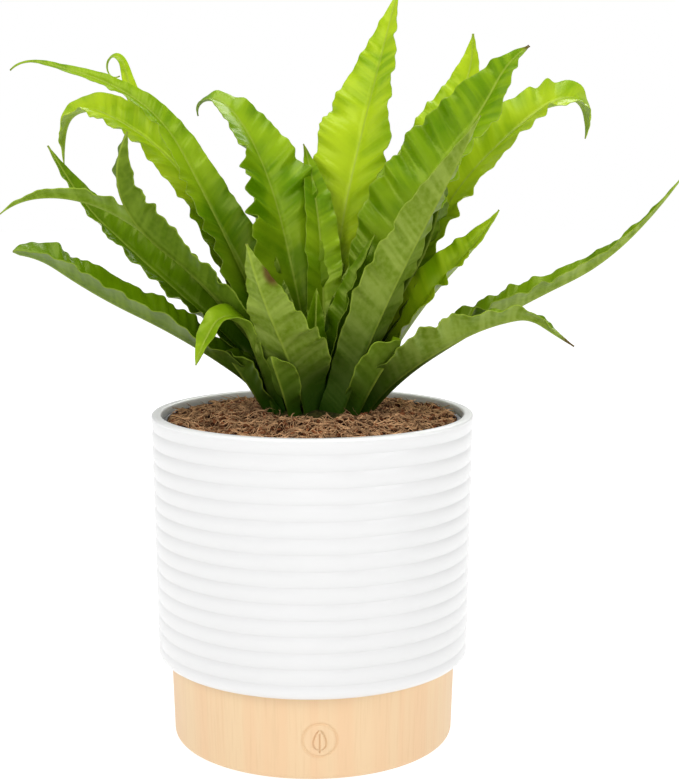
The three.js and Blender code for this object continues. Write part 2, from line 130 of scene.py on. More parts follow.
FRONDS = (
    Growth("left_long", 160, (160, 15), 257, 41, 0.28, 0.62,
           ((0, 67), (0.54, 60), (0.7, 30), (0.82, 16), (0.92, 14), (0.97, -12), (1, -45)),
           (-35, -45), 0, 34, "mid"),
    Growth("left_back", 145, (138, 13), 242, 22, 0.3, 1.4,
           ((0, 62), (0.4, 53), (0.68, 42), (0.8, 66), (0.88, 74), (1, -215)),
           (-25, -35), 0, 26, "bright"),
    Growth("left_hook", 153, (154, 24), 239, 26, 0.5, 4,
           ((0, 71), (0.45, 59), (0.63, 36), (0.8, 20), (0.87, -20), (0.92, -80), (1, -95)),
           (-30, -40), 0, 33, "bright"),
    Growth("left_upright", 196, (216, 17), 166, 29, 0.65, 2,
           ((0, 61), (0.4, 47), (0.6, 37), (0.76, 58), (0.88, 93), (1, 114)),
           (-25, 35), 0, 32, "dark"),
    Growth("left_arch", 188, (190, 16), 189, 23, 0.5, 1.8,
           ((0, 60), (0.4, 46), (0.6, 38), (0.75, 20), (0.9, -10), (1, -42)),
           (0, 15), 0, 32, "mid"),
    Growth("left_mid", 172, (175, 24), 176, 35, 0.45, 1.3,
           ((0, 58), (0.3, 41), (0.7, 42), (0.85, 57), (1, 60)),
           (-20, -30), 0, 34, "dark"),
    Growth("left_low", 196, (196, 29), 150, 30, 0.45, 14,
           ((0, 64), (0.15, 37), (0.55, 27), (0.85, 36), (1, 5)),
           (-12, -15), 0, 36, "dark"),
    Growth("left_nod", 214, (216, 29), 86, 17, 0.55, 2,
           ((0, 76), (0.48, 66), (0.62, 20), (0.74, -55), (1, -72)),
           (-5, -40), -16, 25, "mid"),
    Growth("front_pale", 238, (253, 26), 97, 41, 0.34, 1.2,
           ((0, 68), (0.45, 54), (1, 64)),
           (8, 0), 0, 18, "pale"),
    Growth("back_hook", 124, (112, 10), 183, 55, 0.42, 1.9,
           ((0, 76), (0.5, 73), (0.75, 61), (0.86, 46), (0.93, 5), (1, -115)),
           (-10, -15), 44, 20, "mid"),
    Growth("back_narrow", 76, (90, 4), 136, 21, 0.5, 2.5,
           ((0, 70), (0.6, 72), (1, 64)),
           (0, 10), 50, 25, "mid"),
    Growth("back_tall", 88, (75, 10), 227, 46, 0.64, 1.2,
           ((0, 65), (0.6, 68), (1, 74)),
           (5, 15), -58, 24, "bright"),
    Growth("back_right", 42, (46, 12), 215, 41, 0.55, 2,
           ((0, 60), (0.5, 59), (0.85, 59), (1, 95)),
           (20, 25), 0, 28, "bright"),
    Growth("right_big", 12, (18, 11), 205, 55, 0.55, 1.7,
           ((0, 70), (0.45, 64), (0.7, 53), (0.88, 62), (1, 32)),
           (32, 40), 0, 32, "mid"),
    Growth("right_hook", 20, (25, 22), 229, 33, 0.5, 6,
           ((0, 68), (0.45, 59), (0.6, 44), (0.8, 34), (0.88, 10), (0.92, -60), (1, -108)),
           (25, 30), 0, 32, "bright"),
    Growth("front_broad", -26, (-64, 27), 160, 35, 0.4, 1.6,
           ((0, 70), (0.5, 64), (1, 60)),
           (-30, -50), 50, 24, "pale"),
    Growth("right_curl", 5, (-20, 17), 121, 30, 0.5, 6,
           ((0, 67), (0.6, 60), (0.8, 74), (1, 88)),
           (-60, -70), 0, 66, "dark"),
    Growth("right_fork", -2, (2, 25), 118, 33, 0.42, 1.8,
           ((0, 69), (0.3, 58), (0.7, 47), (1, 59)),
           (20, 30), 0, 33, "bright"),
    Growth("right_long", -14, (-15, 29), 195, 32, 0.38, 0.75,
           ((0, 50), (0.2, 34), (0.6, 27), (0.8, 46), (1, 56)),
           (10, 5), 0, 40, "pale"),
    Growth("right_dip", -26, (-34, 29.5), 126, 36, 0.4, 1.3,
           ((0, 54), (0.2, 38), (0.55, 26), (0.75, 12), (0.85, -34), (1, -30)),
           (2, -15), 0, 36, "pale"),
    Growth("base_stalk", 236, (241, 30.8), 34, 19, 0.5, 4,
           ((0, 68), (1, 60)),
           (0, 0), 0, 35, "mid"),
    Growth("base_round", -30, (-49, 29.5), 44, 26, 0.6, 5,
           ((0, 64), (1, 50)),
           (0, 0), 0, 40, "mid"),
    Growth("base_low", 191, (208, 30.8), 37, 25, 0.6, 4,
           ((0, 60), (1, 54)),
           (0, 0), 0, 40, "dark"),
    Growth("young_right", 20, (0, 4), 85, 20, 0.5, 1.5,
           ((0, 80), (1, 65)),
           (0, 0), 0, 35, "dark"),
    Growth("young_front", 85, (235, 5), 55, 14, 0.5, 1.5,
           ((0, 85), (1, 70)),
           (0, 0), 0, 35, "dark"),
    Growth("rear_left", 132, (131, 25), 134, 34, 0.5, 1.4,
           ((0, 56), (1, 46)),
           (0, 0), 0, 32, "mid"),
    Growth("rear_steep_left", 110, (111, 24), 150, 36, 0.5, 1.4,
           ((0, 62), (0.6, 56), (1, 36)),
           (0, 0), 0, 30, "mid"),
    Growth("rear_low", 90, (90, 26), 126, 34, 0.5, 1.4,
           ((0, 54), (0.3, 42), (1, 30)),
           (0, 0), 0, 34, "dark"),
    Growth("rear_steep_right", 70, (69, 24), 150, 36, 0.5, 1.4,
           ((0, 62), (0.6, 54), (1, 44)),
           (0, 0), 0, 30, "mid"),
    Growth("rear_right", 50, (48, 25), 134, 34, 0.5, 1.4,
           ((0, 56), (1, 42)),
           (0, 0), 0, 32, "mid"),
)


class FernSettings(bpy.types.PropertyGroup):
    """Sizes and colours of the fern and its pot."""

    pleat: bpy.props.FloatProperty(
        name="Pleat", description="Depth of the slanting pleats as a share of half the width",
        default=0.13, min=0.0, max=0.4)
    frill: bpy.props.FloatProperty(
        name="Frill", description="Height of the margin's own ripples as a share of half the width",
        default=0.09, min=0.0, max=0.4)
    wave_length: bpy.props.FloatProperty(
        name="Wave length", description="Distance between two margin waves",
        default=0.0145, subtype="DISTANCE", unit="LENGTH")
    blade_thickness: bpy.props.FloatProperty(
        name="Blade thickness", description="Thickness of a frond at its margin",
        default=0.0005, subtype="DISTANCE", unit="LENGTH")
    rib_depth: bpy.props.FloatProperty(
        name="Rib depth", description="Depth of the grooves between the pot's ribs",
        default=0.0008, subtype="DISTANCE", unit="LENGTH")
    fibre_count: bpy.props.IntProperty(
        name="Fibres", description="Loose coir fibres on the surface", default=3400, min=0)
    crumb_count: bpy.props.IntProperty(
        name="Crumbs", description="Coir chips on the surface", default=1900, min=0)
    glaze: bpy.props.FloatVectorProperty(
        name="Glaze", description="Colour of the cover pot", subtype="COLOR",
        size=3, min=0.0, max=1.0, default=(0.74, 0.74, 0.74))
    foot: bpy.props.FloatVectorProperty(
        name="Foot", description="Colour of the foot", subtype="COLOR",
        size=3, min=0.0, max=1.0, default=(0.765, 0.55, 0.33))


# ---------------------------------------------------------------- surfaces

def smooth(x, low, high):
    """Eased step: 0 below low, 1 above high, cubic between."""
    t = np.clip((x - low) / (high - low), 0.0, 1.0)
    return t * t * (3.0 - 2.0 * t)


def lumps(x, y, cell, seed):
    """Value noise from -1 to 1: random heights on a lattice of the given cell, eased between."""
    table = np.random.default_rng(seed).uniform(-1.0, 1.0, (64, 64))
    gx, gy = x / cell, y / cell
    ix, iy = np.floor(gx).astype(int), np.floor(gy).astype(int)
    tx, ty = smooth(gx - ix, 0.0, 1.0), smooth(gy - iy, 0.0, 1.0)
    a = table[ix % 64, iy % 64]
    b = table[(ix + 1) % 64, iy % 64]
    c = table[ix % 64, (iy + 1) % 64]
    d = table[(ix + 1) % 64, (iy + 1) % 64]
    return (a * (1 - tx) + b * tx) * (1 - ty) + (c * (1 - tx) + d * tx) * ty


def add_piece(name, points, quads, material, nodes=(), values=None, weld=False, outward=False):
    """Mesh piece from points in mm and quad indices, with float attributes per point."""
    mesh = bpy.data.meshes.new(name)
    mesh.from_pydata((points * MM).tolist(), [], quads.tolist())
    for key, value in (values or {}).items():
        layer = mesh.attributes.new(key, "FLOAT", "POINT")
        layer.data.foreach_set("value", np.ascontiguousarray(value, dtype=np.float32).ravel())
    if weld or outward:
        work = bmesh.new()
        work.from_mesh(mesh)
        if weld:
            bmesh.ops.remove_doubles(work, verts=work.verts, dist=1e-7)
            bmesh.ops.dissolve_degenerate(work, edges=work.edges, dist=1e-8)
        bmesh.ops.recalc_face_normals(work, faces=work.faces)
        work.to_mesh(mesh)
        work.free()
    mesh.polygons.foreach_set("use_smooth", np.ones(len(mesh.polygons), dtype=bool))
    mesh.update()
    piece = bpy.data.objects.new(name, mesh)
    bpy.context.scene.collection.objects.link(piece)
    mesh.materials.append(material)
    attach(piece, BODY)
    if nodes:
        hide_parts(*nodes)
    return piece


def grid_quads(rows, columns):
    """Quads of a rows x columns grid whose columns close on themselves."""
    i, j = np.meshgrid(np.arange(rows - 1), np.arange(columns), indexing="ij")
    k = (j + 1) % columns
    return np.stack([i * columns + j, i * columns + k, (i + 1) * columns + k, (i + 1) * columns + j],
                    axis=-1).reshape(-1, 4)


def add_surface(name, points, material, nodes=(), values=None):
    """Piece from a grid of points that closes on itself round each row, with its doubles merged."""
    return add_piece(name, points.reshape(-1, 3), grid_quads(*points.shape[:2]), material,
                     nodes, values, weld=True)


def turned(radius, height, angle):
    """Surface of revolution: radius and height (rows x columns) at each angle round the axis."""
    radius = np.broadcast_to(radius, (radius.shape[0], angle.size))
    height = np.broadcast_to(height, radius.shape)
    return np.stack([radius * np.cos(angle), radius * np.sin(angle), height], axis=-1)


def resample(outline, step):
    """Points along an outline of (radius, height) corners, no further apart than step."""
    outline = np.asarray(outline, dtype=float)
    runs = [np.linspace(a, b, max(1, int(np.ceil(np.linalg.norm(b - a) / step))), endpoint=False)
            for a, b in zip(outline[:-1], outline[1:])]
    return np.vstack(runs + [outline[-1:]])


def arc(centre, radius, start, stop, count=8):
    """Round corner: points on a circle between two angles in degrees."""
    turn = np.radians(np.linspace(start, stop, count))
    return [(centre[0] + radius * np.cos(t), centre[1] + radius * np.sin(t)) for t in turn]


# --------------------------------------------------------------- materials

class Shader:
    """A new node material with short helpers, which take a number, a colour or a socket alike."""

    def __init__(self, name, roughness):
        self.material = bpy.data.materials.new(name)
        self.material.use_nodes = True
        self.nodes = self.material.node_tree.nodes
        self.links = self.material.node_tree.links
        self.surface = self.nodes["Principled BSDF"]
        self.output = self.nodes["Material Output"]
        self.surface.inputs["Roughness"].default_value = roughness

    def add(self, kind, settings=None, **inputs):
        """A node with its settings and named inputs; a space in an input's name is written _."""
        node = self.nodes.new(kind)
        for key, value in (settings or {}).items():
            setattr(node, key, value)
        for key, value in inputs.items():
            self.join(value, node.inputs[key.replace("_", " ")])
        return node

    def join(self, value, socket):
        """Links a socket's value, or sets a plain one."""
        if isinstance(value, bpy.types.NodeSocket):
            self.links.new(value, socket)
        else:
            socket.default_value = value

    def math(self, operation, a, b=0.0):
        """One sum on two values."""
        node = self.nodes.new("ShaderNodeMath")
        node.operation = operation
        self.join(a, node.inputs[0])
        self.join(b, node.inputs[1])
        return node.outputs[0]

    def ease(self, value, low, high, start=0.0, stop=1.0):
        """Goes smoothly from start to stop while the value goes from low to high."""
        node = self.nodes.new("ShaderNodeMapRange")
        node.interpolation_type = "SMOOTHSTEP"
        for socket, number in zip(node.inputs[1:5], (low, high, start, stop)):
            socket.default_value = number
        self.join(value, node.inputs[0])
        return node.outputs[0]

    def blend(self, factor, a, b):
        """Mix of two colours: a at factor 0, b at factor 1."""
        node = self.nodes.new("ShaderNodeMix")
        node.data_type = "RGBA"
        self.join(factor, node.inputs[0])
        self.join(a, node.inputs[6])
        self.join(b, node.inputs[7])
        return node.outputs[2]

    def value(self, name):
        """What a piece's own points carry under this name."""
        return self.add("ShaderNodeAttribute", {"attribute_name": name}).outputs["Fac"]

    def noise(self, scale, stretch=(1.0, 1.0, 1.0), detail=4.0):
        """Cloudy pattern from 0 to 1, fixed to the piece."""
        place = self.add("ShaderNodeTexCoord").outputs["Object"]
        mapped = self.add("ShaderNodeMapping", Vector=place, Scale=stretch).outputs[0]
        return self.add("ShaderNodeTexNoise", Vector=mapped, Scale=scale, Detail=detail).outputs["Fac"]

    def bump(self, height, distance, strength=1.0):
        """Relief on the surface; distance is the height in metres that 1 stands for."""
        node = self.add("ShaderNodeBump", Height=height, Distance=distance, Strength=strength)
        self.links.new(node.outputs[0], self.surface.inputs["Normal"])

    def colour(self, socket):
        """Colour of the surface."""
        self.join(socket, self.surface.inputs["Base Color"])

    def finish(self, **inputs):
        """Plain numbers and colours on the surface; a space in an input's name is written _."""
        for key, value in inputs.items():
            self.surface.inputs[key.replace("_", " ")].default_value = value


def rgba(red, green, blue):
    """Linear colour from display values 0 to 255."""
    c = np.array([red, green, blue]) / 255.0
    linear = np.where(c <= 0.04045, c / 12.92, ((c + 0.055) / 1.055) ** 2.4)
    return (*linear.tolist(), 1.0)


# Greens: (light, deep) of each tone's upper face, and (dull, dusty) of its underside
LEAF_TONES = {
    "bright": (rgba(204, 228, 40), rgba(140, 182, 8)),
    "mid": (rgba(162, 196, 26), rgba(96, 144, 2)),
    "dark": (rgba(112, 148, 4), rgba(76, 112, 0)),
    "pale": (rgba(132, 164, 20), rgba(84, 120, 4)),
}
UNDER_TONES = {
    "bright": (rgba(134, 162, 28), rgba(172, 194, 60)),
    "mid": (rgba(116, 144, 28), rgba(162, 186, 72)),
    "dark": (rgba(84, 112, 14), rgba(128, 154, 44)),
    "pale": (rgba(112, 138, 26), rgba(174, 192, 92)),
}
# Painted shade: the dark green that every blade is painted towards the crown
CROWN_SHADE_GREEN = rgba(16, 62, 2)
# Pale green of the midrib, also painted along the margin as the glow of light through the thin edge
RIB_AND_RIM_GLOW_GREEN = rgba(178, 198, 76)
GLOW_GREEN = rgba(196, 222, 8)
DRY_BROWN = rgba(92, 60, 30)

# Radians of the vein pattern to a mm, and how far up in mm the painted shade reaches from a blade's foot
VEIN_TURN = 2.6
PAINTED_SHADE_REACH = 52.0

# Shares of the length between which a tip turns brown: on three fronds, and on all the others
DRY_TIPS = {"right_big": (0.975, 0.995), "right_dip": (0.93, 0.97), "back_narrow": (0.9, 1.1)}
LAST_TIP = (0.985, 1.02)

# The brown spot on the pale front frond: share of its length, and distance from the midrib in mm
SPOT_SHARE, SPOT_ACROSS = 0.82, 7.0


def leaf_veins(shader):
    """Fine even veins, and broad soft streaks that are painted sheen along the pleats and also their relief,
    both
    running out from the midrib at a slant: each is a pattern of the distance along the blade less half the
    distance across it."""
    across = shader.value("across")
    slant = shader.math("SUBTRACT", shader.value("along"), shader.math("MULTIPLY", across, 0.5))
    vein = shader.math("SINE", shader.math("MULTIPLY", slant, VEIN_TURN))
    lane = shader.add("ShaderNodeCombineXYZ", X=slant, Y=shader.math("MULTIPLY", across, 0.12))
    sheen_streak = shader.add("ShaderNodeTexNoise", Vector=lane.outputs[0], Scale=0.15, Detail=2.0)
    return vein, sheen_streak.outputs["Fac"]


def base_shade(shader, share, most):
    """Painted shade near the crown: how dark the blade is painted over a share of its length, and over its
    lowest part.
    """
    low = shader.ease(shader.value("along"), 0.0, PAINTED_SHADE_REACH, 0.9, 0.0)
    return shader.math("MAXIMUM", shader.ease(shader.value("share"), 0.0, share, most, 0.0), low)


def upper_face(shader, tone, vein, sheen_streak):
    """Patchy green, with painted sheen along the streaks, lighter along the veins, and painted shade towards
    the crown.
    """
    light, deep = LEAF_TONES[tone]
    green = shader.blend(shader.ease(shader.noise(30.0), 0.3, 0.7), deep, light)
    # Painted sheen: lighter green along the pleat streaks
    green = shader.blend(shader.ease(sheen_streak, 0.42, 0.62, 0.0, 0.5), green, light)
    green = shader.blend(shader.ease(vein, -1.0, 1.0, 0.0, 0.04), green, light)
    # Painted shade towards the crown
    return shader.blend(base_shade(shader, 0.62, 1.0), green, CROWN_SHADE_GREEN)


def under_face(shader, tone, sheen_streak):
    """Duller green with a fine pale scurf, with painted sheen along the streaks, and painted shade towards
    the crown.
    """
    dull, dusty = UNDER_TONES[tone]
    scurf = shader.ease(shader.noise(420.0), 0.3, 0.75)
    green = shader.blend(shader.math("MULTIPLY", scurf, 0.4), dull, dusty)
    # Painted sheen: paler along the pleat streaks
    green = shader.blend(shader.ease(sheen_streak, 0.42, 0.62, 0.0, 0.5), green, dusty)
    # Painted shade towards the crown
    return shader.blend(base_shade(shader, 0.5, 0.95), green, CROWN_SHADE_GREEN)


def leaf_material(tone):
    """Frond: glossy upper face, matt pale underside, pale midrib, a painted glow along the margin, fine
    slanting veins, painted shade towards the crown, and light that shines through."""
    shader = Shader("leaf_" + tone, 0.36)
    share, under = shader.value("share"), shader.value("under")
    vein, sheen_streak = leaf_veins(shader)
    face = shader.blend(under, upper_face(shader, tone, vein, sheen_streak), under_face(shader, tone, sheen_streak))
    rib = shader.math("MULTIPLY", shader.ease(shader.value("across"), 0.2, 1.0, 0.55, 0.0),
                      shader.ease(share, 0.05, 0.45, 0.15, 1.0))
    face = shader.blend(rib, face, RIB_AND_RIM_GLOW_GREEN)
    # Painted glow: a pale line along the margin for light shining through the thin edge
    margin_glow = shader.math("MULTIPLY", shader.ease(shader.value("rim"), 0.95, 1.0, 0.0, 0.35),
                         shader.ease(share, 0.05, 0.3))
    face = shader.blend(margin_glow, face, RIB_AND_RIM_GLOW_GREEN)
    face = shader.blend(shader.value("dry"), face, DRY_BROWN)
    shader.colour(face)
    shader.join(shader.ease(under, 0.0, 1.0, 0.27, 0.42), shader.surface.inputs["Roughness"])
    shader.finish(Specular_IOR_Level=0.55, Specular_Tint=(0.9, 1.0, 0.25, 1.0))
    ridges = shader.math("ADD", shader.math("MULTIPLY", vein, 0.05), shader.math("MULTIPLY", sheen_streak, 2.0))
    shader.bump(ridges, 0.0005, 0.5)
    through = shader.blend(0.45, face, GLOW_GREEN)
    # Painted shade: the light shining through is painted dark towards the crown as well
    through = shader.blend(shader.ease(share, 0.0, 0.55, 1.0, 0.0), through, CROWN_SHADE_GREEN)
    glow = shader.add("ShaderNodeBsdfTranslucent", Color=through)
    both = shader.add("ShaderNodeMixShader", Fac=0.34)
    shader.links.new(shader.surface.outputs[0], both.inputs[1])
    shader.links.new(glow.outputs[0], both.inputs[2])
    shader.links.new(both.outputs[0], shader.output.inputs["Surface"])
    return shader.material


def glaze_material(colour):
    """White pot: satin skin with a thin coat and a very faint unevenness."""
    shader = Shader("white_satin", 0.33)
    tone = shader.blend(shader.ease(shader.noise(9.0), 0.3, 0.7), (*colour, 1.0),
                        (*[c * 0.975 for c in colour], 1.0))
    shader.colour(tone)
    shader.join(shader.ease(shader.noise(70.0), 0.2, 0.8, 0.3, 0.38), shader.surface.inputs["Roughness"])
    shader.finish(Coat_Weight=0.25, Coat_Roughness=0.22)
    shader.finish(Subsurface_Weight=0.5, Subsurface_Radius=(1.0, 1.0, 1.0), Subsurface_Scale=0.005)
    shader.bump(shader.noise(55.0), 0.0003, 0.25)
    return shader.material


def foot_material(colour):
    """Tan foot: upright bands of warmer and yellower tan, with a fine grain along them."""
    shader = Shader("tan_wood_look", 0.5)
    bands = shader.ease(shader.noise(85.0, (1.0, 1.0, 0.02), 2.0), 0.35, 0.65)
    pink = (colour[0], colour[1] * 0.95, colour[2] * 0.93, 1.0)
    yellow = (colour[0], colour[1] * 1.02, colour[2] * 1.02, 1.0)
    tone = shader.blend(bands, pink, yellow)
    grain = shader.noise(900.0, (1.0, 1.0, 0.03), 3.0)
    tone = shader.blend(shader.ease(grain, 0.45, 0.75, 0.0, 0.22), tone,
                        (colour[0] * 0.82, colour[1] * 0.74, colour[2] * 0.66, 1.0))
    shader.colour(tone)
    shader.bump(grain, 0.00008, 0.5)
    return shader.material


def liner_material():
    """Black moulded liner with a faint texture."""
    shader = Shader("black_liner", 0.45)
    shader.colour(shader.blend(shader.noise(120.0), rgba(22, 22, 22), rgba(40, 40, 40)))
    shader.bump(shader.noise(900.0), 0.00005, 0.5)
    return shader.material


def earth_material(name, dark, light, scale):
    """Rough loose stuff: two colours broken up by noise and by each crumb's own shade."""
    shader = Shader(name, 0.92)
    mottle = shader.math("ADD", shader.ease(shader.noise(scale), 0.3, 0.7, 0.0, 0.6),
                         shader.math("MULTIPLY", shader.value("shade"), 0.6))
    shader.colour(shader.blend(mottle, dark, light))
    shader.finish(Specular_IOR_Level=0.06)
    shader.bump(shader.noise(scale * 4.0), 0.0006, 0.9)
    return shader.material


# -------------------------------------------------------------------- foot

def roundel_depth(x, z):
    """Pressed mark in mm: a ring, and inside it the outline of a plain leaf with its midrib."""
    u, v = x - ROUNDEL_CENTRE[0], z - ROUNDEL_CENTRE[1]
    ring = np.exp(-((np.hypot(u, v) - ROUNDEL_RING) / 0.6) ** 2)
    half, tall = LEAF_MARK
    leaf = half * np.sqrt(np.clip(1.0 - (v / tall) ** 2, 0.0, 1.0)) * (1.0 - 0.08 * v)
    outline = smooth(-np.abs(np.abs(u) - leaf), -0.6, -0.15) * (np.abs(v) < tall)
    midrib = smooth(-np.abs(u), -0.5, -0.15) * (v > -6.4) * (v < 3.4)
    return ROUNDEL_DEPTH * np.clip(ring + outline + midrib, 0.0, 1.0)


def foot_surface():
    """Cup of revolution from its half outline: each point of the outer wall in front is drawn
    towards the axis by the depth of the mark there. The mesh is finest round the mark."""
    angle = np.radians(np.concatenate([
        np.arange(-100.0, -74.0, 0.2), np.arange(-74.0, 260.0, 2.0)]))
    flat, top = 68.8, FOOT_TOP - FOOT_LIP
    base = [(0.0, 0.0), (flat, 0.0)] + arc((flat, FOOT_BASE_CORNER), FOOT_BASE_CORNER, -90, 0)
    wall = resample([(72.83, FOOT_FLOOR), (FOOT_RADIUS, top)], 0.28)
    lip = arc((FOOT_RADIUS - FOOT_LIP, top), FOOT_LIP, 0, 90, 6)
    inner = [(FOOT_BORE, FOOT_TOP), (FOOT_BORE, FOOT_FLOOR), (0.0, FOOT_FLOOR)]
    outline = np.vstack([base, wall, lip, inner])
    radius, height = outline[:, :1], outline[:, 1:]
    points = turned(radius, height, angle)
    front = (points[..., 1] < 0) & (radius > 72.5) & (height > FOOT_FLOOR) & (height < 40.0)
    depth = front * roundel_depth(points[..., 0], points[..., 2])
    points[..., :2] *= (1.0 - depth / FOOT_RADIUS)[..., None]
    return points


class FERN_OT_foot(bpy.types.Operator):
    """Tan cup-shaped foot with a pressed round mark"""

    bl_idname = "fern.foot"
    bl_label = "Foot"

    def execute(self, context):
        points = foot_surface()
        add_surface("foot_skin", points, foot_material(tuple(context.scene.fern.foot)), ("foot",))
        return {"FINISHED"}


# --------------------------------------------------------------- cover pot

def pot_outline(depth):
    """Half outline: spigot, rounded shoulder, wall, rounded lip and plain inside. The wall widens
    evenly upwards, and each rib stands out from it by four times p(1 - p), with p its share of
    the rib's height."""
    wide, low = POT_SHOULDER
    flat = SPIGOT_RADIUS - SPIGOT_CORNER
    spigot = [(0.0, POT_BOTTOM), (flat, POT_BOTTOM), *arc((flat, POT_BOTTOM + SPIGOT_CORNER),
                                                          SPIGOT_CORNER, -90, 0), (SPIGOT_RADIUS, low)]
    shoulder = [(76.6, low)] + arc((76.65, 47.0), 4.0, -85, -4)
    z = np.linspace(47.0, 168.4, 400)
    phase = ((z - TOP_GROOVE) / RIB_PITCH) % 1.0
    rib = 4.0 * phase * (1.0 - phase)
    outer = wide + POT_SPREAD * (z - low) / (POT_TOP - low)
    wall = np.column_stack([outer - depth * (1.0 - rib), z])
    lip = arc((81.1, 168.6), 1.4, 0, 90, 8) + arc((78.6, 168.9), 1.1, 90, 180, 8)
    inner = [(77.1, 160.0), (76.8, 60.0), (76.6, 47.6), (65.4, 47.0), (65.4, 18.0), (0.0, 18.0)]
    return np.vstack([spigot, shoulder, wall, lip, inner])


class FERN_OT_cover_pot(bpy.types.Operator):
    """White pot with sixteen soft ribs"""

    bl_idname = "fern.cover_pot"
    bl_label = "Cover pot"

    def execute(self, context):
        settings = context.scene.fern
        outline = pot_outline(settings.rib_depth / MM)
        angle = np.radians(np.arange(0.0, 360.0, 2.25))
        points = turned(outline[:, :1], outline[:, 1:], angle)
        glaze = glaze_material(tuple(settings.glaze))
        add_surface("cover_pot_skin", points, glaze, ("cover_pot",))
        return {"FINISHED"}


# ------------------------------------------------------ liner, mix and coir

def coir_height(x, y):
    """Surface of the coir: a low mound towards the crown, broken by lumps of three sizes."""
    away = np.hypot(x - CROWN[0], y - CROWN[1])
    mound = COIR_EDGE + COIR_MOUND * (1.0 - smooth(away, 26.0, 78.0))
    rough = 1.4 * lumps(x, y, 9.0, 1) + 1.5 * lumps(x, y, 3.6, 2) + 0.8 * lumps(x, y, 1.6, 3)
    return mound + rough * (1.0 - 0.6 * smooth(np.hypot(x, y), 68.0, 75.0))


def coir_bed():
    """Disc of coir: rings from the middle out over the lumpy top, down the edge and back below."""
    angle = np.radians(np.arange(0.0, 360.0, 1.25))
    top = np.linspace(0.0, COIR_RADIUS, 112)[:, None] * np.ones(angle.size)
    x, y = top * np.cos(angle), top * np.sin(angle)
    upper = np.stack([x, y, coir_height(x, y)], axis=-1)
    edge = np.array([[73.7, 158.0], [69.6, COIR_FLOOR], [0.0, COIR_FLOOR]])
    lower = turned(edge[:, :1], edge[:, 1:], angle)
    return np.concatenate([upper, lower])


def scatter(count, seed):
    """Random places on the coir, even by area: the distance from the axis is the square root of
    an even draw between the squares of the inner and outer radius."""
    random = np.random.default_rng(seed)
    inner, outer = LOOSE_COIR
    away = np.sqrt(random.uniform(inner ** 2, outer ** 2, count))
    turn = random.uniform(0.0, 2 * np.pi, count)
    return random, away * np.cos(turn), away * np.sin(turn)


def fibre_strands(count, seed):
    """Three-sided threads: each follows a bent path over the coir, thinning at both ends."""
    random, x, y = scatter(count, seed)
    step = np.linspace(-0.5, 0.5, FIBRE_RINGS)
    length = random.uniform(4.0, 16.0, count)[:, None]
    way = random.uniform(0.0, 2 * np.pi, count)[:, None]
    bend = random.uniform(-1.4, 1.4, count)[:, None]
    turn = way + bend * step
    px = x[:, None] + length * step * np.cos(turn)
    py = y[:, None] + length * step * np.sin(turn)
    keep = np.minimum(1.0, FIBRE_REACH / np.hypot(px, py))
    px, py = px * keep, py * keep
    lift = random.uniform(0.1, 1.6, count)[:, None] * (1.0 - (2 * step) ** 2) + 0.25
    spring = (random.uniform(0, 1, count) > 0.9)[:, None] * random.uniform(1.0, 5.0, count)[:, None]
    pz = coir_height(px, py) + lift + spring * (step + 0.5) ** 2
    thick = random.uniform(0.13, 0.36, count)[:, None] * (1.15 - (2 * step) ** 2)
    corner = np.radians(90.0 + 120.0 * np.arange(FIBRE_SIDES))
    side = np.stack([-np.sin(turn), np.cos(turn)], axis=-1)
    ring = np.stack([
        px[..., None] + thick[..., None] * np.cos(corner) * side[..., :1],
        py[..., None] + thick[..., None] * np.cos(corner) * side[..., 1:],
        pz[..., None] + thick[..., None] * np.sin(corner)], axis=-1)
    shade = np.repeat(random.uniform(0.0, 1.0, count), FIBRE_RINGS * FIBRE_SIDES)
    return ring.reshape(-1, 3), tube_faces(count), shade


def tube_faces(count):
    """Wall quads and both three-cornered ends of every thread; merging the doubles turns an end
    whose last corner is there twice into a triangle."""
    first = np.array([[2, 1, 0, 0]])
    last = np.array([[0, 1, 2, 2]]) + (FIBRE_RINGS - 1) * FIBRE_SIDES
    one = np.vstack([grid_quads(FIBRE_RINGS, FIBRE_SIDES), first, last])
    return (one[None] + (np.arange(count) * FIBRE_RINGS * FIBRE_SIDES)[:, None, None]).reshape(-1, 4)


def crumbs(count, seed):
    """Chips: squashed, skewed eight-cornered blocks, each turned its own way."""
    random, x, y = scatter(count, seed)
    corner = np.array([[i, j, k] for k in (-1, 1) for j, i in ((-1, -1), (-1, 1), (1, 1), (1, -1))], float)
    size = random.uniform(0.4, 1.7, (count, 1, 3)) * np.array([1.3, 0.8, 0.5])
    body = corner[None] * size * random.uniform(0.55, 1.0, (count, 8, 1))
    turn, tip = random.uniform(0, 2 * np.pi, count), random.uniform(-0.7, 0.7, count)
    ct, st, cp, sp = np.cos(turn), np.sin(turn), np.cos(tip), np.sin(tip)
    bx = body[..., 0] * cp[:, None] - body[..., 2] * sp[:, None]
    bz = body[..., 0] * sp[:, None] + body[..., 2] * cp[:, None]
    px = bx * ct[:, None] - body[..., 1] * st[:, None] + x[:, None]
    py = bx * st[:, None] + body[..., 1] * ct[:, None] + y[:, None]
    pz = bz + (coir_height(x, y) + random.uniform(-0.1, 0.7, count))[:, None]
    box = np.array([[0, 3, 2, 1], [4, 5, 6, 7], [0, 1, 5, 4], [1, 2, 6, 5], [2, 3, 7, 6], [3, 0, 4, 7]])
    faces = (box[None] + (np.arange(count) * 8)[:, None, None]).reshape(-1, 4)
    return np.stack([px, py, pz], axis=-1).reshape(-1, 3), faces, np.repeat(random.uniform(0, 1, count), 8)


